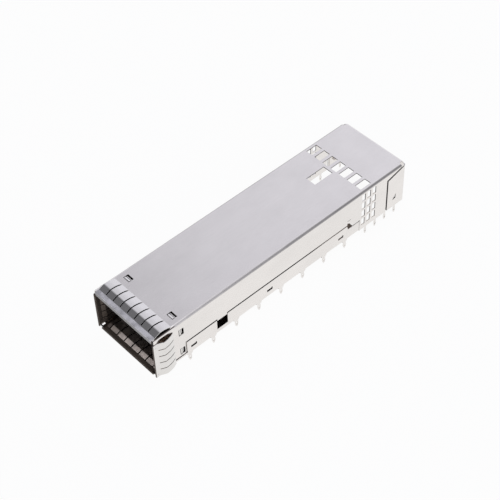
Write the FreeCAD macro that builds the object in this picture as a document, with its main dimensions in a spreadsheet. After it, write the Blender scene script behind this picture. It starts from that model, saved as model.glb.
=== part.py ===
# A single-port module cage in folded sheet metal: an upper shell, a lower tray and four spring gaskets.
# Every depth is measured from the port's front, every height from the board that the cage is pressed into.
import FreeCAD
import Part
import Sketcher
import math
import os

SIZES = {
    # Overall box and sheets
    "cage_width": 23.4,  # over the two side walls
    "cage_height": 14.15,  # board to the top wall's outside
    "cage_length": 90.8,  # port front to the rear wall's outside
    "sheet": 0.25,  # thickness of the shell and the tray
    "shell_bend": 0.75,  # outside radius of the shell's folds
    "tray_bend": 0.5,  # outside radius of the tray's folds
    "corner_relief": 0.8,  # how far the notch where the shell's folds meet runs down the walls
    "corner_width": 1.1,
    "corner_length": 1.6,
    "overcut": 1.0,  # how far a cut runs past the sheet
    # Seam between shell and tray
    "tray_wall": 5.05,  # height of the tray's side walls
    "seam_gap": 0.5,
    "leg_depth": 10.3,  # middle of the seam's upright run behind the shell's front leg
    "strip_height": 0.95,  # tray wall under the shell's front leg
    "rear_bay": 17.9,  # length of the shell behind the tray
    "butt_gap": 0.1,  # between the tray's rear end and the shell
    "rear_wall_drop": 1.35,  # how much lower the tray wall is behind its step
    "step_back": 4.8,  # from the step to the tray's rear end
    "step_slope": 0.35,
    # Side window above the step
    "peak_rise": 0.65,  # above the seam
    "peak_run": 0.95,
    "peak_fall": 0.4,
    "window_back": 2.7,  # from the window to the tray's rear end
    "crease_rise": 0.75,  # above the window
    "crease_length": 1.3,
    "crease_gap": 0.16,
    # Notch in the tray wall and the shell's tongue in it
    "notch_depth": 20.7,
    "notch_length": 3.65,
    "notch_floor": 1.6,
    "tongue_play": 0.15,
    "tongue_overlap": 0.2,
    # Latch slots of the tray wall
    "slot_depth": 11.8,
    "slot_height": 1.95,
    "slot_length": 1.95,
    "slot_gap": 0.75,
    "slot_rise": 0.95,
    "slot_end": 0.4,
    "slot_back": 8.2,  # from the last slot to the tray's rear end
    "slot_count": 3,
    # Coined recess for the bottom strip and relief holes in the tray's front corners
    "coin": 0.05,
    "coin_play": 0.25,
    "relief_depth": 0.8,
    "relief_length": 1.0,
    "relief_width": 0.6,
    # Vents and the slot in the top wall
    "top_vent_gap": 1.3,  # behind the tray
    "top_vent_length": 3.8,
    "top_vent_width": 2.15,
    "top_vent_margin": 2.34,  # from the outer vents' middle to the wall
    "top_vent_count": 7,
    "top_slot_reach": 0.4,  # past the tray's rear end
    "top_slot_length": 6.6,
    "top_slot_width": 3.35,
    "top_slot_offset": -1.15,
    # Vents in the side walls
    "side_vent_gap": 0.7,  # behind the tray
    "side_vent_length": 1.3,
    "side_vent_tall": 2.4,
    "side_vent_height": 1.6,
    "side_vent_step": 2.03,
    "side_vent_drop": 0.97,  # of the top row below the top wall
    "side_vent_columns": 3,
    "side_vent_rows": 4,
    # Seam of the flap folded forward from the rear wall, and its three-cornered opening
    "flap_length": 7.15,  # from the seam to the rear wall
    "flap_gap": 0.55,
    "flap_knee": 2.5,  # below the top wall
    "flap_peak": 0.2,  # below the top wall, past the rear wall
    "lance_back": 4.8,  # from the opening to the rear wall
    "lance_height": 2.65,
    "lance_length": 1.25,
    "lance_slope": 0.3,  # rise of the opening's lower edge
    "lance_tall": 1.6,  # its rear edge
    "return_depth": 0.6,  # edges turned in along the seam and under the opening
    "return_end": 1.3,  # from the seam's turned edge to the rear wall
    # Press-fit pins
    "pin_length": 2.65,
    "pin_root": 0.7,  # how far the pin's plate runs up its wall
    "pin_shoulder": 0.95,  # half width at the board
    "pin_neck": 0.36,
    "pin_neck_depth": 0.6,
    "pin_belly": 0.5,
    "pin_belly_depth": 1.05,
    "pin_belly_end": 1.75,
    "pin_tip": 0.18,
    "eye_share": 0.4,  # of the belly's width
    "eye_top": 0.85,
    "eye_end": 2.0,
    "tray_pin_depth": 11.3,
    "tray_pin_back": 5.6,  # from the last pin to the tray's rear end
    "tray_pin_count": 8,
    "rear_pin_shoulder": 0.34,
    "rear_pin_neck": 0.25,
    "rear_pin_belly": 0.36,
    "right_pin_gap": 2.5,  # from the tray to the first pin
    "right_pin_back": 3.79,  # from the last pin to the rear wall
    "right_pin_count": 4,
    "left_pin_gap": 8.1,
    "left_pin_back": 1.8,
    "left_pin_count": 2,
    # Gasket strip and its outer fingers
    "strip": 0.15,  # thickness of the spring strip
    "strip_play": 0.03,  # between strip and sheet
    "edge_play": 0.3,  # between the strip's front fold and the sheet's edge
    "fold": 0.2,  # bend radius of the strip's middle line
    "lip_depth": 1.3,
    "lip_middle": 0.75,
    "crest_depth": 3.0,
    "crest_rise": 0.8,
    "crest_bend": 0.7,
    "back_depth": 4.9,
    "back_rise": 0.66,
    "back_bend": 6.0,
    "tip_depth": 6.5,
    "row_finger_gap": 0.36,
    "side_finger_gap": 0.26,
    "finger_root": 0.15,
    "top_margin": 0.74,  # on average, from the strip's ends to the walls
    "top_shift": 0.3,  # of the top strip towards the right
    "bottom_margin": 1.3,
    "bottom_trim": 1.12,  # taken off the bottom strip's two outer fingers
    "side_margin": 1.65,  # from the side strips' upper end to the top wall
    "row_fingers": 8,
    "side_fingers": 5,
    "side_base": 0.05,  # lower end of the side strips
    # Inner fingers and the leg that carries the latch tabs
    "inner_lip": 1.4,
    "inner_crest_depth": 2.55,
    "inner_rise": 0.45,
    "inner_back_rise": 0.32,
    "inner_end": 6.2,
    "leg_past": 1.1,  # inner leg behind the latch windows
    "end_inset": 0.6,
    "collar": 1.25,  # drop of the top strip's front face
    "ramp_start": 1.0,
    "ramp_end": 4.2,
    # Latch windows in the sheets and tabs in the strips
    "window_margin": 0.15,  # from the windows to the front leg's rear edge
    "window_length": 1.6,
    "window_width": 2.3,
    "tab_play": 0.2,
    "tab_flat": 0.55,  # nearly flush with the wall
    "tab_rise": 0.1,  # of the tip above the flat's rear end
    "tab_length": 0.8,
    "tab_root": 0.2,
    "tab_relief": 0.8,
    "row_tab_margin": 3.2,  # from a tab's middle to the wall
    "low_tab_height": 3.1,
    "high_tab_drop": 3.7,  # below the top wall
    # Weld spots on the lips
    "spot_radius": 0.28,
    "spot_sink": 0.05,
    "spot_depth": 0.7,
    "spot_margin": 1.06,  # from the outer spots to the strip's ends
    "row_spots": 4,
    "side_spots": 2,
}

SHEET_NAME = "Sizes"


class Size:
    """A number with the sheet expression that it follows, so that sums of sizes stay bound to the sheet."""

    def __init__(self, value, text):
        self.value = value
        self.text = text

    def __add__(self, other):
        other = as_size(other)
        return Size(self.value + other.value, f"({self.text} + {other.text})")

    def __radd__(self, other):
        return as_size(other) + self

    def __sub__(self, other):
        other = as_size(other)
        return Size(self.value - other.value, f"({self.text} - {other.text})")

    def __rsub__(self, other):
        return as_size(other) - self

    def __mul__(self, factor):
        factor = as_size(factor)
        return Size(self.value * factor.value, f"({self.text} * {factor.text})")

    def __rmul__(self, factor):
        return as_size(factor) * self

    def __truediv__(self, divisor):
        divisor = as_size(divisor)
        return Size(self.value / divisor.value, f"({self.text} / {divisor.text})")

    def __neg__(self):
        return as_size(0) - self


def as_size(number):
    """A Size as it is, or a plain number as a constant Size."""
    if isinstance(number, Size):
        return number
    return Size(float(number), str(float(number)))


def size(name):
    """The driving dimension called name."""
    return Size(SIZES[name], f"{SHEET_NAME}.{name}")


def make_sheet(doc):
    """The spreadsheet with one aliased cell for each driving dimension."""
    sheet = doc.addObject("Spreadsheet::Sheet", SHEET_NAME)
    for row, (name, value) in enumerate(SIZES.items(), start=1):
        sheet.set(f"A{row}", name)
        sheet.set(f"B{row}", str(value))
        sheet.setAlias(f"B{row}", name)
    doc.recompute()


def origin_part(body, role):
    """One of the body's origin planes or axes."""
    return next(part for part in body.Origin.OriginFeatures if part.Role == role)


def new_sketch(body, name, role, offset=None):
    """A sketch on an origin plane of the body, or moved along that plane's normal by offset."""
    sketch = body.newObject("Sketcher::SketchObject", name)
    sketch.AttachmentSupport = [(origin_part(body, role), "")]
    sketch.MapMode = "FlatFace"
    if offset is not None:
        sketch.setExpression("AttachmentOffset.Base.z", offset.text)
    return sketch


def bind(sketch, kind, *where, length):
    """A dimension in the sketch that follows the sheet."""
    index = sketch.addConstraint(Sketcher.Constraint(kind, *where, length.value))
    sketch.setExpression(f"Constraints[{index}]", length.text)


def place(sketch, geometry, position, x, y):
    """Holds one point of the sketch at x and y from its origin."""
    bind(sketch, "DistanceX", -1, 1, geometry, position, length=x)
    bind(sketch, "DistanceY", -1, 1, geometry, position, length=y)


def unit(a, b):
    """The direction from a to b."""
    return (b - a).normalize()


class Corner:
    """One corner of an outline: its place, and its rounding where it has one."""

    def __init__(self, x, y, radius=None):
        self.x = as_size(x)
        self.y = as_size(y)
        self.radius = radius
        self.point = FreeCAD.Vector(self.x.value, self.y.value, 0)
        self.entry = self.point
        self.leave = self.point

    def round_off(self, before, after):
        """Finds where the rounding leaves the two lines, and its arc."""
        u, v = unit(before.point, self.point), unit(self.point, after.point)
        turn = u.cross(v).z
        run = self.radius.value * math.tan(u.getAngle(v) / 2)
        self.entry = self.point - u * run
        self.leave = self.point + v * run
        side = FreeCAD.Vector(-u.y, u.x, 0) * math.copysign(self.radius.value, turn)
        centre = self.entry + side
        ends = (self.entry, self.leave) if turn > 0 else (self.leave, self.entry)
        angles = [math.atan2(end.y - centre.y, end.x - centre.x) for end in ends]
        circle = Part.Circle(centre, FreeCAD.Vector(0, 0, 1), self.radius.value)
        self.arc = Part.ArcOfCircle(circle, *angles)
        self.arc_first, self.arc_last = (1, 2) if turn > 0 else (2, 1)


def draw(sketch, points, closed=True):
    """Draws lines through (x, y) or (x, y, radius) points, with tangent arcs, all bound to the sheet."""
    corners = [Corner(*point) for point in points]
    count = len(corners)
    last = count if closed else count - 1
    for index, corner in enumerate(corners):
        if corner.radius is not None:
            corner.round_off(corners[index - 1], corners[(index + 1) % count])
    lines = []
    for index in range(last):
        start, end = corners[index].leave, corners[(index + 1) % count].entry
        lines.append(sketch.addGeometry(Part.LineSegment(start, end), False))
    for index, corner in enumerate(corners):
        before = lines[index - 1] if closed or index > 0 else None
        after = lines[index] if index < last else None
        if corner.radius is not None:
            arc = sketch.addGeometry(corner.arc, False)
            knot = sketch.addGeometry(Part.Point(corner.point), True)
            place(sketch, knot, 1, corner.x, corner.y)
            sketch.addConstraint([
                Sketcher.Constraint("PointOnObject", knot, 1, before),
                Sketcher.Constraint("PointOnObject", knot, 1, after),
                Sketcher.Constraint("Tangent", before, 2, arc, corner.arc_first),
                Sketcher.Constraint("Tangent", arc, corner.arc_last, after, 1),
            ])
            bind(sketch, "Radius", arc, length=corner.radius)
            continue
        if before is not None and after is not None:
            sketch.addConstraint(Sketcher.Constraint("Coincident", before, 2, after, 1))
        if after is not None:
            place(sketch, after, 1, corner.x, corner.y)
        else:
            place(sketch, before, 2, corner.x, corner.y)


def draw_box(sketch, x0, y0, x1, y1):
    """A rectangle between two corners."""
    draw(sketch, [(x0, y0), (x1, y0), (x1, y1), (x0, y1)])


def pad(body, name, sketch, length, reverse=False):
    """Thickens a sketch along its plane's normal."""
    feature = body.newObject("PartDesign::Pad", name)
    feature.Profile = sketch
    feature.setExpression("Length", length.text)
    feature.Reversed = reverse
    return feature


def pocket(body, name, sketch, length=None, forward=False, both=False):
    """Cuts a sketch out against its plane's normal, forward along it, or both ways."""
    feature = body.newObject("PartDesign::Pocket", name)
    feature.Profile = sketch
    feature.Reversed = forward
    if both:
        feature.SideType = "Symmetric"
    if length is None:
        feature.Type = "ThroughAll"
    else:
        feature.setExpression("Length", length.text)
    return feature


def repeat(body, name, originals, axis, run, number, axis2=None, run2=None, number2=None):
    """Spreads features evenly over a run along one origin axis, or two."""
    feature = body.newObject("PartDesign::LinearPattern", name)
    feature.Originals = originals
    feature.Direction = (origin_part(body, axis), [""])
    feature.setExpression("Length", run.text)
    feature.setExpression("Occurrences", number.text)
    if axis2 is not None:
        feature.Direction2 = (origin_part(body, axis2), [""])
        feature.setExpression("Length2", run2.text)
        feature.setExpression("Occurrences2", number2.text)
    body.Tip = feature
    return feature


def mirror(body, name, originals):
    """Repeats features on the other side of the cage's middle plane."""
    feature = body.newObject("PartDesign::Mirrored", name)
    feature.Originals = originals
    feature.MirrorPlane = (origin_part(body, "YZ_Plane"), [""])
    body.Tip = feature
    return feature


def lies_on(shape, axis, value):
    """True where all of an edge or face lies in the plane at value along axis."""
    tolerance = 1e-6
    return all(abs(getattr(vertex.Point, axis) - value.value) < tolerance for vertex in shape.Vertexes)


def fold_box(body, plan, height, bend, folded, open_sides):
    """Turns a plan into a thin folded box: folded edges are rounded and the open sides are left out."""
    doc = body.Document
    block = pad(body, "block", plan, height)
    doc.recompute()
    edges = block.Shape.Edges
    chosen = [f"Edge{i}" for i, edge in enumerate(edges, 1)
              if any(all(lies_on(edge, *plane) for plane in pair) for pair in folded)]
    folds = body.newObject("PartDesign::Fillet", "folds")
    folds.Base = (block, chosen)
    folds.setExpression("Radius", bend.text)
    doc.recompute()
    faces = folds.Shape.Faces
    chosen = [f"Face{i}" for i, face in enumerate(faces, 1)
              if any(lies_on(face, *plane) for plane in open_sides)]
    walls = body.newObject("PartDesign::Thickness", "walls")
    walls.Base = (folds, chosen)
    walls.setExpression("Value", size("sheet").text)
    walls.Reversed = True
    doc.recompute()


def new_body(doc, label, turn=0.0, x=0.0, z=0.0):
    """An empty sub-part, turned about the depth axis and centred along the cage's length."""
    body = doc.addObject("PartDesign::Body", label)
    body.Label = label
    body.Placement = FreeCAD.Placement(FreeCAD.Vector(), FreeCAD.Rotation(FreeCAD.Vector(0, 1, 0), turn))
    body.setExpression("Placement.Base.x", as_size(x).text)
    body.setExpression("Placement.Base.y", (-size("cage_length") / 2).text)
    body.setExpression("Placement.Base.z", as_size(z).text)
    return body


def draw_pin(sketch, depth, shoulder, neck, belly):
    """One press-fit pin seen from the side: tapered shoulders, a belly with an eye, and a blunt tip."""
    heights = (size("pin_root"), as_size(0), -size("pin_neck_depth"), -size("pin_belly_depth"),
               -size("pin_belly_end"), -size("pin_length"))
    halves = (shoulder, shoulder, neck, belly, belly, size("pin_tip"))
    right = [(depth + half, height) for half, height in zip(halves, heights)]
    left = [(depth - half, height) for half, height in zip(halves, heights)]
    draw(sketch, right + left[::-1])
    eye = belly * size("eye_share")
    rounding = eye * 0.9
    draw(sketch, [
        (depth - eye, -size("eye_end"), rounding), (depth + eye, -size("eye_end"), rounding),
        (depth + eye, -size("eye_top"), rounding), (depth - eye, -size("eye_top"), rounding),
    ])


def add_pins(body, name, side, first, last, number, *widths):
    """A row of pins in the plane of one side wall: side is 1 on the right and -1 on the left."""
    outside = side * size("cage_width") / 2
    sketch = new_sketch(body, f"{name}_outline", "YZ_Plane", outside)
    draw_pin(sketch, first, *widths)
    pin = pad(body, name, sketch, size("sheet"), reverse=side > 0)
    repeat(body, f"{name}_row", [pin], "Y_Axis", last - first, number)


def sheet_front():
    """Depth of the sheets' front edge, just inside the gaskets' front fold."""
    return size("strip") + size("edge_play")


def tray_end():
    """Depth of the seam at the tray's rear end."""
    return size("cage_length") - size("rear_bay")


def leg_rear():
    """Depth of the rear edge of the shell's front leg."""
    return size("leg_depth") - size("seam_gap") / 2


def window_front():
    """Depth of the latch windows' front edge."""
    return leg_rear() - size("window_margin") - size("window_length")


def strip_end():
    """Depth at which the gaskets' inner legs end."""
    return window_front() + size("window_length") + size("leg_past")


def row_tab_offset():
    """The latch tabs' distance from the middle plane, in the top wall and the floor."""
    return size("cage_width") / 2 - size("row_tab_margin")


def high_tab_height():
    """Height of the upper latch tabs in the side walls."""
    return size("cage_height") - size("high_tab_drop")


def draw_plan(body, rear):
    """The plan of a sheet part, from its front edge to rear."""
    sketch = new_sketch(body, "plan", "XY_Plane")
    half = size("cage_width") / 2
    draw_box(sketch, -half, sheet_front(), half, rear)
    return sketch


def draw_side_windows(sketch):
    """The two latch windows of each side wall."""
    for height in (size("low_tab_height"), high_tab_height()):
        half = size("window_width") / 2
        front = window_front()
        draw_box(sketch, front, height - half, front + size("window_length"), height + half)


def draw_row_windows(sketch):
    """The two latch windows of the top wall or the floor."""
    for offset in (-row_tab_offset(), row_tab_offset()):
        half = size("window_width") / 2
        front = window_front()
        draw_box(sketch, offset - half, front, offset + half, front + size("window_length"))


def tray_rear_wall():
    """Height of the tray's side walls behind their step."""
    return size("tray_wall") - size("rear_wall_drop")


def cut_shell_sides(body):
    """Cuts the shell's side walls back to the seam and opens the side window and the latch windows."""
    over = size("overcut")
    gap = size("seam_gap")
    seam = size("tray_wall") + gap
    leg = leg_rear()
    tongue_front = size("notch_depth") + size("tongue_play")
    tongue_rear = size("notch_depth") + size("notch_length") - size("tongue_play")
    tongue_end = size("tray_wall") - size("tongue_overlap")
    rear_seam = tray_rear_wall() + gap
    end = tray_end()
    step, peak = end - size("step_back"), seam + size("peak_rise")
    sketch = new_sketch(body, "side_outline", "YZ_Plane")
    draw(sketch, [
        (-over, -over), (end, -over), (end, rear_seam),
        (end - size("window_back"), rear_seam), (step + size("peak_run"), peak - size("peak_fall")),
        (step, peak), (step, seam),
        (tongue_rear, seam), (tongue_rear, tongue_end), (tongue_front, tongue_end), (tongue_front, seam),
        (leg, seam), (leg, size("strip_height") + gap), (-over, size("strip_height") + gap),
    ])
    crease = peak + size("crease_rise")
    draw_box(sketch, step, crease, step + size("crease_length"), crease + size("crease_gap"))
    draw_side_windows(sketch)
    pocket(body, "side_cut", sketch, both=True)


def cut_shell_vents(body):
    """The rows of vents in the side walls and the top wall, the top slot and the top latch windows."""
    sketch = new_sketch(body, "side_vent_outline", "YZ_Plane")
    depth, height = tray_end() + size("side_vent_gap"), size("side_vent_height")
    tall = size("side_vent_tall")
    draw_box(sketch, depth, height, depth + size("side_vent_length"), height + tall)
    vent = pocket(body, "side_vent", sketch, both=True)
    columns, rows = size("side_vent_columns"), size("side_vent_rows")
    repeat(body, "side_vents", [vent], "Y_Axis", size("side_vent_step") * (columns - 1), columns,
           "Z_Axis", size("cage_height") - size("side_vent_drop") - tall - height, rows)
    sketch = new_sketch(body, "top_vent_outline", "XY_Plane")
    first = size("top_vent_margin") - size("cage_width") / 2
    half = size("top_vent_width") / 2
    depth = tray_end() + size("top_vent_gap")
    draw_box(sketch, first - half, depth, first + half, depth + size("top_vent_length"))
    vent = pocket(body, "top_vent", sketch, forward=True)
    repeat(body, "top_vents", [vent], "X_Axis", -first * 2, size("top_vent_count"))
    sketch = new_sketch(body, "top_openings", "XY_Plane")
    middle, half = size("top_slot_offset"), size("top_slot_width") / 2
    rear = tray_end() + size("top_slot_reach")
    draw_box(sketch, middle - half, rear - size("top_slot_length"), middle + half, rear)
    draw_row_windows(sketch)
    pocket(body, "top_cut", sketch, forward=True)


def cut_shell_flaps(body):
    """The seam around each rear flap and its three-cornered opening, with their edges turned in."""
    over = size("overcut")
    length, top = size("cage_length"), size("cage_height")
    front, rear = length - size("flap_length"), length + over
    half = size("flap_gap") / 2
    knee, peak = top - size("flap_knee"), top - size("flap_peak")
    sketch = new_sketch(body, "flap_outline", "YZ_Plane", size("cage_width") / 2)
    draw(sketch, [
        (front - half, -over), (front + half, -over), (front + half, knee - half),
        (rear, peak - half), (rear, peak + half), (front - half, knee + half),
    ])
    start, low = length - size("lance_back"), size("lance_height")
    end, high = start + size("lance_length"), low + size("lance_slope")
    draw(sketch, [(start, low), (end, high), (end, high + size("lance_tall"))])
    seam = pocket(body, "flap_seam", sketch, length=size("shell_bend") + size("sheet"))
    mirror(body, "flap_seams", [seam])
    sheet = size("sheet")
    sketch = new_sketch(body, "return_outline", "YZ_Plane", size("cage_width") / 2 - sheet / 2)
    edge, bend = front + half, knee - half
    stop = length - size("return_end")
    climb = (stop - edge) * (peak - knee) / (rear - edge)
    draw(sketch, [
        (edge, 0), (edge + sheet, 0), (edge + sheet, bend - sheet), (stop, bend + climb - sheet),
        (stop, bend + climb), (edge, bend),
    ])
    draw(sketch, [(start, low - sheet), (end, high - sheet), (end, high), (start, low)])
    turned = pad(body, "return", sketch, size("return_depth") + sheet / 2, reverse=True)
    mirror(body, "returns", [turned])


def cut_shell_corners(body):
    """The open notch at both rear top corners, where three folds meet."""
    over = size("overcut")
    rear, wall = size("cage_length"), size("cage_width") / 2
    sketch = new_sketch(body, "corner_outline", "XY_Plane", size("cage_height") - size("corner_relief"))
    draw_box(sketch, wall - size("corner_width"), rear - size("corner_length"), wall + over, rear + over)
    corner = pocket(body, "corner_notch", sketch, forward=True)
    mirror(body, "corner_notches", [corner])


def make_upper_shell(doc):
    """Top wall, side walls and rear wall of one folded sheet, open in front and below."""
    body = new_body(doc, "upper_shell")
    half, top, rear = size("cage_width") / 2, size("cage_height"), size("cage_length")
    sides = (("x", half), ("x", -half))
    folded = [(("z", top), side) for side in sides] + [(("y", rear), side) for side in sides]
    folded.append((("z", top), ("y", rear)))
    open_sides = [("z", as_size(0)), ("y", sheet_front())]
    fold_box(body, draw_plan(body, rear), top, size("shell_bend"), folded, open_sides)
    cut_shell_sides(body)
    cut_shell_vents(body)
    cut_shell_flaps(body)
    cut_shell_corners(body)
    thin = (size("rear_pin_shoulder"), size("rear_pin_neck"), size("rear_pin_belly"))
    for name, side in (("right_pin", 1), ("left_pin", -1)):
        first, last = tray_end() + size(f"{name}_gap"), rear - size(f"{name}_back")
        add_pins(body, name, side, first, last, size(f"{name}_count"), *thin)
    return body


def cut_tray_walls(body):
    """Cuts the tray's walls down under the shell's front leg, at the notch and behind the step."""
    over = size("overcut")
    above = size("tray_wall") + over
    sketch = new_sketch(body, "wall_outline", "YZ_Plane")
    draw_box(sketch, -over, size("strip_height"), size("leg_depth") + size("seam_gap") / 2, above)
    notch = size("notch_depth")
    draw_box(sketch, notch, size("notch_floor"), notch + size("notch_length"), above)
    step, slope = tray_end() - size("step_back"), size("step_slope")
    behind = tray_end() + over
    draw(sketch, [
        (step, above), (step, size("tray_wall")), (step + slope, tray_rear_wall()),
        (behind, tray_rear_wall()), (behind, above),
    ])
    pocket(body, "wall_cut", sketch, both=True)
    sketch = new_sketch(body, "slot_outline", "YZ_Plane")
    front, low = size("slot_depth"), size("slot_height")
    rear = front + size("slot_length")
    draw(sketch, [
        (front, low), (rear, low), (rear, low + size("slot_rise")),
        (rear - size("slot_end"), low + size("slot_rise")),
        (rear - size("slot_end"), low + size("slot_gap")), (front, low + size("slot_gap")),
    ])
    slot = pocket(body, "latch_slot", sketch, both=True)
    repeat(body, "latch_slots", [slot], "Y_Axis", tray_end() - size("slot_back") - front, size("slot_count"))
    sketch = new_sketch(body, "floor_windows", "XY_Plane")
    draw_row_windows(sketch)
    edge = size("cage_width") / 2 - size("sheet")
    inside = edge - size("relief_width")
    front = size("relief_depth")
    for left, right in ((-edge, -inside), (inside, edge)):
        draw_box(sketch, left, front, right, front + size("relief_length"))
    pocket(body, "floor_cut", sketch, forward=True)
    sketch = new_sketch(body, "coin_outline", "XY_Plane")
    half = size("cage_width") / 2 - size("bottom_margin") + size("coin_play")
    draw_box(sketch, -half, -size("overcut"), half, strip_end() + size("coin_play"))
    pocket(body, "coined_recess", sketch, length=size("coin"), forward=True)


def make_lower_tray(doc):
    """Floor and low side walls of one folded sheet, open in front, behind and above."""
    body = new_body(doc, "lower_tray")
    half, rear = size("cage_width") / 2, tray_end() - size("butt_gap")
    folded = [(("z", as_size(0)), ("x", half)), (("z", as_size(0)), ("x", -half))]
    open_sides = [("z", size("tray_wall")), ("y", sheet_front()), ("y", rear)]
    fold_box(body, draw_plan(body, rear), size("tray_wall"), size("tray_bend"), folded, open_sides)
    cut_tray_walls(body)
    for name, side in (("right_pin", 1), ("left_pin", -1)):
        first, last = size("tray_pin_depth"), tray_end() - size("tray_pin_back")
        add_pins(body, name, side, first, last, size("tray_pin_count"),
                 size("pin_shoulder"), size("pin_neck"), size("pin_belly"))
    return body


def outer_height():
    """The middle of the strip's outer leg above the wall's outer face."""
    return size("strip_play") + size("strip") / 2


def inner_height():
    """The middle of the strip's inner leg, below the wall's outer face."""
    return -(size("sheet") + size("strip_play") + size("strip") / 2)


def outer_path():
    """Lip and outer finger in profile, from the middle of the lip to the finger's tip."""
    low = outer_height()
    return [
        (size("lip_middle"), low), (size("lip_depth"), low, size("fold")),
        (size("crest_depth"), low + size("crest_rise"), size("crest_bend")),
        (size("back_depth"), low + size("back_rise"), size("back_bend")),
        (size("tip_depth"), low),
    ]


def inner_path(drop):
    """Front fold and inner leg in profile: with fingers, or with a lead-in ramp after a deeper fold."""
    front, fold, leg = size("strip") / 2, size("fold"), inner_height()
    path = [(size("lip_middle"), outer_height()), (front, outer_height(), fold)]
    if drop is None:
        crest = leg - size("inner_rise")
        path += [
            (front, leg, fold), (size("inner_lip"), leg, fold),
            (size("inner_crest_depth"), crest, size("crest_bend")),
            (size("back_depth"), leg - size("inner_back_rise"), size("back_bend")),
            (size("inner_end"), leg, fold),
        ]
    else:
        path += [
            (front, -drop, fold), (size("ramp_start"), -drop, fold), (size("ramp_end"), leg, fold),
        ]
    return path + [(strip_end(), leg)]


def sweep_strip(body, name, profile, path):
    """Sweeps the strip's section along a bent path."""
    spine = new_sketch(body, f"{name}_path", "YZ_Plane")
    draw(spine, path, closed=False)
    body.Document.recompute()
    feature = body.newObject("PartDesign::AdditivePipe", name)
    feature.Profile = profile
    feature.Spine = (spine, [f"Edge{i}" for i in range(1, len(spine.Shape.Edges) + 1)])


def cut_fingers(body, span, number, gap, trim, inner_fingers):
    """Slits between the fingers, outside and inside, and the inner leg's shorter ends."""
    full = span + trim * 2
    first = full / number - full / 2
    half = gap / 2
    root = size("lip_depth") + size("finger_root")
    sketch = new_sketch(body, "outer_slit_outline", "XY_Plane")
    draw_box(sketch, first - half, root, first + half, size("tip_depth") + size("overcut"))
    slit = pocket(body, "outer_slit", sketch, forward=True)
    repeat(body, "outer_slits", [slit], "X_Axis", -first * 2, number - 1)
    if inner_fingers:
        sketch = new_sketch(body, "inner_slit_outline", "XY_Plane")
        draw_box(sketch, first - half, size("inner_lip") - size("finger_root"),
                 first + half, size("inner_end") - size("finger_root"))
        slit = pocket(body, "inner_slit", sketch)
        repeat(body, "inner_slits", [slit], "X_Axis", -first * 2, number - 1)
    sketch = new_sketch(body, "leg_ends", "XY_Plane")
    edge, outside = span / 2 - size("end_inset"), span / 2 + size("overcut")
    front, rear = size("strip") + size("edge_play") / 2, strip_end() + size("overcut")
    draw_box(sketch, edge, front, outside, rear)
    draw_box(sketch, -outside, front, -edge, rear)
    pocket(body, "leg_end_cut", sketch)


def add_tabs(body, offsets):
    """Latch tabs lanced from the inner leg, each stepped up into its window, flush with the wall."""
    front, play = window_front(), size("tab_play")
    half = size("window_width") / 2 - play
    tip = front + play
    knee, root = tip + size("tab_flat"), tip + size("tab_length")
    rear = root + size("tab_root")
    relief = new_sketch(body, "tab_relief_outline", "XY_Plane")
    for offset in offsets:
        draw_box(relief, offset - half - play, front - play, offset + half + play, root)
        draw_box(relief, offset - half - play, rear, offset + half + play, rear + size("tab_relief"))
    pocket(body, "tab_relief", relief)
    leg, strip, rise = inner_height(), size("strip"), size("tab_rise")
    for number, offset in enumerate(offsets, start=1):
        sketch = new_sketch(body, f"tab{number}_outline", "YZ_Plane", offset - half)
        draw(sketch, [
            (rear, leg - strip / 2), (rear, leg + strip / 2), (root, leg + strip / 2), (knee, -rise),
            (tip, 0), (tip, -strip), (knee - strip / 2, -rise - strip), (root - strip / 2, leg - strip / 2),
        ])
        pad(body, f"tab{number}", sketch, half * 2)


def add_spots(body, span, number):
    """A row of shallow weld spots along the lip."""
    sketch = new_sketch(body, "spot_outline", "XY_Plane", outer_height() + size("strip") / 2)
    first = size("spot_margin") - span / 2
    radius = size("spot_radius")
    centre = FreeCAD.Vector(first.value, SIZES["spot_depth"], 0)
    circle = sketch.addGeometry(Part.Circle(centre, FreeCAD.Vector(0, 0, 1), radius.value), False)
    place(sketch, circle, 3, first, size("spot_depth"))
    bind(sketch, "Radius", circle, length=radius)
    spot = pocket(body, "spot", sketch, length=size("spot_sink"))
    repeat(body, "spots", [spot], "X_Axis", -first * 2, number)


def make_gasket(doc, label, span, fingers, gap, spots, tabs, trim=0, drop=None, **placement):
    """A spring strip clipped over a wall's front edge, drawn with the wall's outer face at height zero."""
    body = new_body(doc, label, **placement)
    section = new_sketch(body, "section", "XZ_Plane", -size("lip_middle"))
    middle, half = outer_height(), size("strip") / 2
    draw_box(section, -span / 2, middle - half, span / 2, middle + half)
    sweep_strip(body, "outer_leg", section, outer_path())
    sweep_strip(body, "inner_leg", section, inner_path(drop))
    cut_fingers(body, span, fingers, gap, as_size(trim), drop is None)
    add_tabs(body, tabs)
    add_spots(body, span, spots)
    return body


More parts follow.
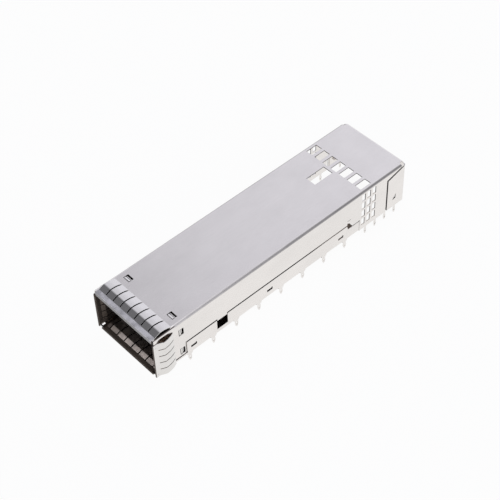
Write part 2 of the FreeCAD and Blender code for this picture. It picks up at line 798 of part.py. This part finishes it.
def make_gaskets(doc):
    """The four gaskets, each turned to face out of its own wall."""
    row = (-row_tab_offset(), row_tab_offset())
    shift = size("top_shift")
    top_tabs = tuple(offset - shift for offset in row)
    wall, top = size("cage_width") / 2, size("cage_height")
    top_span = (wall - size("top_margin")) * 2
    bottom_span = (wall - size("bottom_margin")) * 2
    side_span = top - size("side_base") - size("side_margin")
    row_kind = (size("row_fingers"), size("row_finger_gap"), size("row_spots"))
    side_kind = (size("side_fingers"), size("side_finger_gap"), size("side_spots"))
    middle = size("side_base") + side_span / 2
    left_tabs = (size("low_tab_height") - middle, high_tab_height() - middle)
    right_tabs = tuple(-offset for offset in left_tabs)
    return [
        make_gasket(doc, "top_gasket", top_span, *row_kind, top_tabs, drop=size("collar"), x=shift, z=top),
        make_gasket(doc, "bottom_gasket", bottom_span, *row_kind, row, trim=size("bottom_trim"), turn=180),
        make_gasket(doc, "right_gasket", side_span, *side_kind, right_tabs, turn=90, x=wall, z=middle),
        make_gasket(doc, "left_gasket", side_span, *side_kind, left_tabs, turn=-90, x=-wall, z=middle),
    ]


def check(doc, bodies):
    """Stops at any failed feature, and at any sub-part that isn't one valid solid."""
    for item in doc.Objects:
        if "Invalid" in item.State or "Error" in item.State:
            raise RuntimeError(f"{item.Name} of {item.Label} failed: {item.State}")
    for body in bodies:
        shape = body.Shape
        if shape.isNull() or not shape.isValid() or len(shape.Solids) != 1:
            raise RuntimeError(f"{body.Label} isn't one valid solid")


def main():
    """Builds the document, checks it and writes each sub-part."""
    doc = FreeCAD.newDocument("module_cage")
    make_sheet(doc)
    bodies = [make_upper_shell(doc), make_lower_tray(doc)] + make_gaskets(doc)
    doc.recompute()
    check(doc, bodies)
    os.makedirs("parts", exist_ok=True)
    for body in bodies:
        body.Shape.exportStep(f"parts/{body.Label}.step")


main()
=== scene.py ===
import math

import bpy
from mathutils import Matrix, Vector


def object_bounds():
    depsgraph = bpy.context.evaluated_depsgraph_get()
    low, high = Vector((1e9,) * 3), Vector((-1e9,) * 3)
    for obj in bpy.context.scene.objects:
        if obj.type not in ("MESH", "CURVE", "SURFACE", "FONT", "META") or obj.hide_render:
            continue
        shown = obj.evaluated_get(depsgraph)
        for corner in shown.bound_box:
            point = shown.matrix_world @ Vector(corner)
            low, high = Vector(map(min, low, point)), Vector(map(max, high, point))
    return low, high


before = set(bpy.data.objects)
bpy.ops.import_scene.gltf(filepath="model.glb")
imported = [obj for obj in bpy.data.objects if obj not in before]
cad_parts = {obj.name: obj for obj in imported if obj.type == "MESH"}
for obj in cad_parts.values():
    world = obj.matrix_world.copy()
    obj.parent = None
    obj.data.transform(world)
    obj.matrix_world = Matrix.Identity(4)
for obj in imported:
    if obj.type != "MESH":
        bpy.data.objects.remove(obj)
cad_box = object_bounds()

MM = 0.001
WHITE = (1.0, 1.0, 1.0, 1.0)

# The viewpoint: angles in degrees, lengths in millimetres, the focal length in pixels of a square picture.
PICTURE = 500
SENSOR = 36.0
AZIMUTH = 48.9649
ELEVATION = 47.5989
ROLL = -2.2319
FOCAL = 1326.8541
CAMERA_PLACE = (180.2096, -159.2416, 267.2740)
CLIP_START, CLIP_END = 0.01, 20.0  # metres

# The floor and the studio, in metres and watts.
FLOOR = (0.94, 0.94, 0.94)
FLOOR_GLOW = 0.94  # share of plain white that the eye and reflections see in the floor
FLOOR_HALF = 2.0
STUDIO = (0.91, 0.915, 1.0)
KEY_PLACE = (0.10, 0.30, 0.60)
KEY_SIZE = 0.60
KEY_POWER = 0.30

# Dark cards of the studio: the way to a card's middle, the angles in degrees from there at which it is
# darkest and ends, and the share of the light that it leaves.
FRONT_LEFT = (-0.54, -0.40, 0.74)
REAR_RIGHT = (0.40, 0.70, 0.59)
CARDS = (
    (FRONT_LEFT, 14.0, 22.0, 0.345),
    (FRONT_LEFT, 41.0, 48.0, 0.70),
    (FRONT_LEFT, 44.0, 66.0, 0.80),
    (REAR_RIGHT, 21.0, 34.0, 0.45),
)

# Patterns of the metal: stretch along the three axes, repeats per millimetre, detail and roughness.
GRAIN = ((7.0, 0.25, 7.0), 1.0, 3.0, 0.5)
CLOUD = ((1.0, 0.6, 1.0), 0.14, 4.0, 0.6)
PITS = ((1.0, 1.0, 1.0), 4.0, 2.0, 0.5)
SMUDGES = ((1.0, 1.0, 1.0), 0.5, 3.0, 0.5)

# What the patterns do: the range that is read from a pattern, and the shares or additions it becomes.
PATTERN_RANGE = (0.3, 0.7)
SMUDGE_RANGE = (0.38, 0.62)
CLOUD_TONES = (0.96, 1.03)
GRAIN_TONES = (0.975, 1.025)
SMUDGE_TONES = (1.08, 0.72)
GRAIN_ROUGHNESS = (-0.02, 0.02)
WEAR_RANGE = (0.99, 0.85)  # cosines of the edge's rounding where the wear starts and is full
BEVEL_SAMPLES = 4
BUMP_STRENGTH = 0.12
BUMP_DEPTH = 0.01  # millimetres

# Linear colours of the finishes and of the painted shade, painted shadow and painted reflection, with the
# roughness where the plating is clear and cloudy, and the width in millimetres of the burnished edges.
PLATE = (0.81, 0.78, 0.755)
PLATE_WORN = (0.86, 0.84, 0.82)
PLATE_ROUGHNESS = (0.14, 0.20)
PLATE_EDGE = 0.06
# Painted shade and shadow inside, under the fingers, in the pockets and on cut edges; painted reflection on
# the bends
PLATE_INSIDE_SHADE = (0.17, 0.145, 0.13)
PLATE_BLACK_SHADE = (0.012, 0.010, 0.009)
PLATE_POCKET_SHADE = (0.50, 0.41, 0.33)
PLATE_SHEARED_AND_SHADE = (0.11, 0.10, 0.095)
PLATE_BEND_REFLECTION = (0.38, 0.365, 0.355)
STRIP = (0.755, 0.737, 0.715)
STRIP_WORN = (0.85, 0.84, 0.825)
STRIP_ROUGHNESS = (0.12, 0.17)
STRIP_EDGE = 0.03
# Painted shade inside, under and in front of the gaskets, and a painted tan reflection on the bottom ramps
STRIP_INSIDE_SHADE = (0.40, 0.35, 0.315)
STRIP_RAMP_REFLECTION = (0.92, 0.81, 0.71)
STRIP_RAMP_SHADE = (0.52, 0.45, 0.385)
STRIP_SHADED = (0.11, 0.092, 0.08)
STRIP_LEFT_SHADE = (0.15, 0.126, 0.108)
STRIP_POCKET_SHADE = (0.55, 0.45, 0.36)
STRIP_LIP_SHADE = (0.24, 0.20, 0.165)
STRIP_FRONT_SHADE = (0.31, 0.305, 0.31)
STRIP_FOLD = (0.66, 0.65, 0.66)
STRIP_RUBBED = (0.58, 0.57, 0.585)

# Where the colour changes, mostly to painted shade, painted shadow and painted reflection and in places to
# real
# scuffs: a box in millimetres as its lowest and highest corners, ranges of the parts of the surface's
# direction where that matters, the colour there, the roughness added and the share of the light that a
# scuffed surface scatters.
WIDE = 99.0  # no limit
DULL = 0.2
SCUFFED = 0.65
SIDE_CUT = ("X", -0.3, 0.3)
NOT_UP = ("Z", -1.1, 0.4)
RAMP = ("Y", -0.7, -0.15)
PLATE_ZONES = (
    # Painted shade inside the bay and the tray's rear end
    (((-11.58, -44.9, 0.12), (11.58, 18.0, 14.02)), (), PLATE_INSIDE_SHADE, DULL, 0.0),
    (((-11.6, 17.9, 0.12), (11.6, 27.45, 5.2)), (), PLATE_INSIDE_SHADE, DULL, 0.0),
    # Painted black shadow under the fingers of the top gasket, and painted shade in the pockets behind the
    # side gaskets
    (((-10.6, -44.3, 13.7), (11.42, -39.3, WIDE)), (), PLATE_BLACK_SHADE, DULL, 0.0),
    (((11.5, -44.9, 0.05), (WIDE, -39.3, 12.6)), (), PLATE_POCKET_SHADE, DULL, 0.0),
    (((-WIDE, -44.9, 0.05), (-11.5, -39.3, 12.6)), (), PLATE_POCKET_SHADE, DULL, 0.0),
    # Sheared edges in the side walls and flap seams: raw cut edges darkened further with painted shade of
    # the gaps
    (((10.8, -34.7, 0.02), (WIDE, 37.0, 13.3)), (SIDE_CUT, NOT_UP), PLATE_SHEARED_AND_SHADE, DULL, 0.0),
    (((-WIDE, -34.7, 0.02), (-11.44, 37.0, 13.3)), (SIDE_CUT, NOT_UP), PLATE_SHEARED_AND_SHADE, DULL, 0.0),
    # Painted black shadow in the right flap's seam
    (((10.8, 37.0, 0.02), (WIDE, 44.6, 13.3)), (SIDE_CUT,), PLATE_BLACK_SHADE, DULL, 0.0),
    (((-WIDE, 37.0, 0.02), (-11.58, 44.6, 13.3)), (SIDE_CUT,), PLATE_SHEARED_AND_SHADE, DULL, 0.0),
    # Edges of the latch windows, the tray's front edge and the edges of the openings in the top wall: raw
    # cut edges darkened with painted shade of the gaps behind them
    (((-WIDE, -44.9, 1.2), (WIDE, -35.2, 13.3)), (("Y", -1.1, -0.7),), PLATE_SHEARED_AND_SHADE, DULL, 0.0),
    (((-WIDE, -WIDE, -WIDE), (WIDE, -44.8, 1.3)), (("Y", -1.1, -0.3),), PLATE_SHEARED_AND_SHADE, DULL, 0.0),
    (((-10.9, -44.9, 13.8), (10.9, 43.7, WIDE)), (("Z", -0.3, 0.3),), PLATE_SHEARED_AND_SHADE, DULL, 0.0),
)
# The long bends get a painted dark reflection, lighter near the front and darker in steps towards the rear:
# where a step starts and its colour's share, and for each side the bend's range across the cage and the
# steepest surface that counts as bent.
BEND_STEPS = ((-38.0, 1.65), (-34.0, 1.5), (-29.0, 1.37), (-22.0, 1.24), (-12.0, 1.12), (0.0, 1.0))
BEND_SIDES = ((10.9, WIDE, 0.99), (-WIDE, -10.9, 0.96))
PLATE_ZONES += tuple(
    (
        ((low, start, 13.3), (high, 43.7, WIDE)),
        (("Z", 0.3, steepest),),
        tuple(share * part for part in PLATE_BEND_REFLECTION),
        0.0,
        0.0,
    )
    for low, high, steepest in BEND_SIDES
    for start, share in BEND_STEPS
)
STRIP_ZONES = (
    # Painted shade on the inner legs; painted reflection on the ramps of the bottom fingers, painted shade
    # on their left end
    (((-11.7, -WIDE, 0.12), (11.58, -38.0, 14.02)), (), STRIP_INSIDE_SHADE, DULL, 0.0),
    (((-8.7, -44.3, 0.1), (10.5, -42.6, 1.0)), (RAMP,), STRIP_RAMP_REFLECTION, DULL, SCUFFED),
    (((-8.7, -44.3, 0.1), (-5.2, -42.6, 1.0)), (RAMP,), STRIP_RAMP_SHADE, DULL, 0.0),
    # Painted shade on the insides of the left and right gaskets and on the bottom gasket's lip
    (((-11.6, -WIDE, 0.04), (-10.5, -38.0, 12.6)), (), STRIP_LEFT_SHADE, DULL, 0.0),
    (((10.5, -WIDE, 0.04), (11.6, -38.0, 12.6)), (), STRIP_SHADED, DULL, 0.0),
    (((-10.5, -WIDE, 0.1), (10.5, -44.1, 0.6)), (), STRIP_LIP_SHADE, DULL, 0.0),
    # Painted shade on the front faces below and on the top gasket's front face; the top gasket's scuffed
    # fold and rubbed lip
    (((-WIDE, -WIDE, -WIDE), (WIDE, -45.1, 12.6)), (("Y", -1.1, -0.5),), STRIP_SHADED, DULL, 0.0),
    (((-WIDE, -WIDE, 12.6), (WIDE, -45.1, WIDE)), (("Y", -1.1, -0.6),), STRIP_FRONT_SHADE, DULL, 0.0),
    (((-WIDE, -WIDE, 13.9), (WIDE, -44.9, WIDE)), (("Y", -0.97, -0.08),), STRIP_FOLD, DULL, SCUFFED),
    (((-WIDE, -WIDE, 14.1), (WIDE, -43.9, 14.5)), (("Z", 0.95, 1.1),), STRIP_RUBBED, DULL, SCUFFED),
    # Painted shade on the undersides of the outer fingers at the top, right and left
    (((-WIDE, -WIDE, 14.1), (WIDE, WIDE, WIDE)), (("Z", -1.1, -0.2),), STRIP_SHADED, DULL, 0.0),
    (((11.6, -WIDE, -WIDE), (WIDE, WIDE, WIDE)), (("X", -1.1, -0.2),), STRIP_POCKET_SHADE, DULL, 0.0),
    (((-WIDE, -WIDE, -WIDE), (-11.6, WIDE, WIDE)), (("X", 0.2, 1.1),), STRIP_POCKET_SHADE, DULL, 0.0),
)

# Sockets of the node that mixes two colours.
MIX_FACTOR, MIX_FIRST, MIX_SECOND, MIX_RESULT = 0, 6, 7, 2


class Graph:
    """Adds nodes to one node tree."""

    def __init__(self, tree):
        self.tree = tree
        tree.nodes.clear()

    def add(self, kind, inputs=None, **settings):
        node = self.tree.nodes.new(kind)
        for name, value in settings.items():
            setattr(node, name, value)
        for name, value in (inputs or {}).items():
            socket = node.inputs[name]
            if isinstance(value, bpy.types.NodeSocket):
                self.tree.links.new(value, socket)
            else:
                socket.default_value = value
        return node

    def math(self, operation, first, second=0.0):
        return self.add("ShaderNodeMath", {0: first, 1: second}, operation=operation).outputs[0]

    def stretch(self, vector, factors):
        return self.add("ShaderNodeVectorMath", {0: vector, 1: factors}, operation="MULTIPLY").outputs[0]

    def scale(self, vector, factor):
        inputs = {0: vector, "Scale": factor}
        return self.add("ShaderNodeVectorMath", inputs, operation="SCALE").outputs[0]

    def dot(self, first, second):
        inputs = {0: first, 1: second}
        return self.add("ShaderNodeVectorMath", inputs, operation="DOT_PRODUCT").outputs["Value"]

    def noise(self, position, factors, scale, detail, roughness):
        vector = self.stretch(position, factors)
        inputs = {"Vector": vector, "Scale": scale, "Detail": detail, "Roughness": roughness}
        return self.add("ShaderNodeTexNoise", inputs).outputs["Fac"]

    def span(self, value, low, high, new_low, new_high):
        inputs = {"Value": value, "From Min": low, "From Max": high, "To Min": new_low, "To Max": new_high}
        return self.add("ShaderNodeMapRange", inputs).outputs["Result"]

    def mix(self, factor, first, second):
        colours = [(*colour, 1.0) if isinstance(colour, tuple) else colour for colour in (first, second)]
        inputs = {MIX_FACTOR: factor, MIX_FIRST: colours[0], MIX_SECOND: colours[1]}
        return self.add("ShaderNodeMix", inputs, data_type="RGBA").outputs[MIX_RESULT]


def new_material(name):
    material = bpy.data.materials.new(name)
    material.use_nodes = True
    return material, Graph(material.node_tree)


def zone_mask(graph, axes, normal, box, facing):
    """One inside a box and where the surface faces as told, nought elsewhere."""
    limits = [(axes[name], low, high) for name, low, high in zip("XYZ", *box)]
    limits += [(normal[name], low, high) for name, low, high in facing]
    mask = None
    for value, low, high in limits:
        for operation, limit in (("GREATER_THAN", low), ("LESS_THAN", high)):
            if abs(limit) < WIDE:
                test = graph.math(operation, value, limit)
                mask = test if mask is None else graph.math("MULTIPLY", mask, test)
    return mask


def metal(name, outer, worn, gloss, edge, zones):
    """A plated sheet: rolling grain along its length, cloudy plating, burnished edges, and its zones of
    painted shade, painted shadow, painted reflection and scuffs.
    """
    material, graph = new_material(name)
    place = graph.add("ShaderNodeTexCoord").outputs["Object"]
    position = graph.stretch(place, (1.0 / MM, 1.0 / MM, 1.0 / MM))
    axes = graph.add("ShaderNodeSeparateXYZ", {0: position}).outputs
    face = graph.add("ShaderNodeNewGeometry").outputs["True Normal"]
    normal = graph.add("ShaderNodeSeparateXYZ", {0: face}).outputs
    grain = graph.noise(position, *GRAIN)
    cloud = graph.noise(position, *CLOUD)
    pits = graph.noise(position, *PITS)
    smudge = graph.span(graph.noise(position, *SMUDGES), *SMUDGE_RANGE, *SMUDGE_TONES)
    rounded = graph.add("ShaderNodeBevel", {"Radius": edge * MM}, samples=BEVEL_SAMPLES).outputs["Normal"]
    wear = graph.span(graph.dot(rounded, face), *WEAR_RANGE, 0.0, 1.0)
    tone = graph.span(cloud, *PATTERN_RANGE, *CLOUD_TONES)
    streak = graph.span(grain, *PATTERN_RANGE, *GRAIN_TONES)
    shade = graph.math("MULTIPLY", tone, streak)
    roughness = graph.span(cloud, *PATTERN_RANGE, *gloss)
    roughness = graph.math("ADD", roughness, graph.span(grain, *PATTERN_RANGE, *GRAIN_ROUGHNESS))
    colour = graph.mix(wear, outer, worn)
    metallic = 1.0
    for box, turned, tint, dulling, scuffing in zones:
        mask = zone_mask(graph, axes, normal, box, turned)
        colour = graph.mix(mask, colour, tint)
        roughness = graph.math("ADD", roughness, graph.math("MULTIPLY", mask, dulling))
        if scuffing > 0.0:
            colour = graph.mix(mask, colour, graph.scale(colour, smudge))
            metallic = graph.math("SUBTRACT", metallic, graph.math("MULTIPLY", mask, scuffing))
    colour = graph.scale(colour, shade)
    relief = graph.math("ADD", grain, pits)
    bump = graph.add(
        "ShaderNodeBump",
        {"Strength": BUMP_STRENGTH, "Distance": BUMP_DEPTH * MM, "Height": relief, "Normal": rounded},
    )
    shader = graph.add(
        "ShaderNodeBsdfPrincipled",
        {"Base Color": colour, "Metallic": metallic, "Roughness": roughness, "Normal": bump.outputs[0]},
    )
    graph.add("ShaderNodeOutputMaterial", {"Surface": shader.outputs["BSDF"]})
    return material


def seen_by_eye_or_mirror(graph):
    """One for rays that come from the eye or from a reflection, nought for the light on a dull surface."""
    path = graph.add("ShaderNodeLightPath").outputs
    mask = graph.math("MAXIMUM", path["Is Camera Ray"], path["Is Glossy Ray"])
    return graph.math("MAXIMUM", mask, path["Is Transmission Ray"])


def make_floor():
    height = cad_box[0][2]
    mesh = bpy.data.meshes.new("floor")
    signs = ((-1, -1), (1, -1), (1, 1), (-1, 1))
    corners = [(across * FLOOR_HALF, along * FLOOR_HALF, height) for across, along in signs]
    mesh.from_pydata(corners, [], [(0, 1, 2, 3)])
    floor = bpy.data.objects.new("floor", mesh)
    bpy.context.scene.collection.objects.link(floor)
    material, graph = new_material("floor")
    dull = graph.add("ShaderNodeBsdfDiffuse", {"Color": (*FLOOR, 1.0)})
    glow = graph.add("ShaderNodeEmission", {"Color": WHITE, "Strength": 1.0})
    share = graph.math("MULTIPLY", seen_by_eye_or_mirror(graph), FLOOR_GLOW)
    mixed = graph.add("ShaderNodeMixShader", {0: share, 1: dull.outputs[0], 2: glow.outputs[0]})
    graph.add("ShaderNodeOutputMaterial", {"Surface": mixed.outputs[0]})
    mesh.materials.append(material)


def make_world():
    """A bright studio with dark cards that give the folds and fingers their dark sides; white to the eye."""
    world = bpy.data.worlds.new("studio")
    bpy.context.scene.world = world
    world.use_nodes = True
    graph = Graph(world.node_tree)
    way = graph.add("ShaderNodeTexCoord").outputs["Generated"]
    strength = 1.0
    for centre, near, far, rest in CARDS:
        toward = graph.dot(way, Vector(centre).normalized())
        limits = math.cos(math.radians(far)), math.cos(math.radians(near))
        strength = graph.math("MULTIPLY", graph.span(toward, *limits, 1.0, rest), strength)
    light = graph.add("ShaderNodeBackground", {"Color": (*STUDIO, 1.0), "Strength": strength})
    blank = graph.add("ShaderNodeBackground", {"Color": WHITE, "Strength": 1.0})
    eye = graph.add("ShaderNodeLightPath").outputs["Is Camera Ray"]
    mixed = graph.add("ShaderNodeMixShader", {0: eye, 1: light.outputs[0], 2: blank.outputs[0]})
    graph.add("ShaderNodeOutputWorld", {"Surface": mixed.outputs[0]})


def make_lamp(name, place, size, power):
    light = bpy.data.lights.new(name, "AREA")
    light.shape = "DISK"
    light.size = size
    light.energy = power
    lamp = bpy.data.objects.new(name, light)
    lamp.location = place
    lamp.rotation_euler = (-Vector(place)).to_track_quat("-Z", "Y").to_euler()
    bpy.context.scene.collection.objects.link(lamp)


def make_camera():
    turn, lift, roll = (math.radians(angle) for angle in (AZIMUTH, ELEVATION, ROLL))
    back = Vector((math.sin(turn) * math.cos(lift), -math.cos(turn) * math.cos(lift), math.sin(lift)))
    level = Vector((0.0, 0.0, 1.0)).cross(back).normalized()
    steep = back.cross(level)
    right = level * math.cos(roll) + steep * math.sin(roll)
    up = steep * math.cos(roll) - level * math.sin(roll)
    data = bpy.data.cameras.new("camera")
    data.sensor_width = SENSOR
    data.lens = SENSOR * FOCAL / PICTURE
    data.clip_start = CLIP_START
    data.clip_end = CLIP_END
    camera = bpy.data.objects.new("camera", data)
    turned = Matrix((right, up, back)).transposed().to_4x4()
    camera.matrix_world = Matrix.Translation(Vector(CAMERA_PLACE) * MM) @ turned
    bpy.context.scene.collection.objects.link(camera)
    bpy.context.scene.camera = camera


def dress(names, material):
    for name in names:
        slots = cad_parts[name].data.materials
        slots.clear()
        slots.append(material)


plated = metal("plated_sheet", PLATE, PLATE_WORN, PLATE_ROUGHNESS, PLATE_EDGE, PLATE_ZONES)
spring = metal("spring_strip", STRIP, STRIP_WORN, STRIP_ROUGHNESS, STRIP_EDGE, STRIP_ZONES)
dress(("upper_shell", "lower_tray"), plated)
dress(("top_gasket", "bottom_gasket", "left_gasket", "right_gasket"), spring)
make_floor()
make_world()
make_lamp("key", KEY_PLACE, KEY_SIZE, KEY_POWER)
make_camera()
bpy.context.scene.view_settings.view_transform = "Standard"
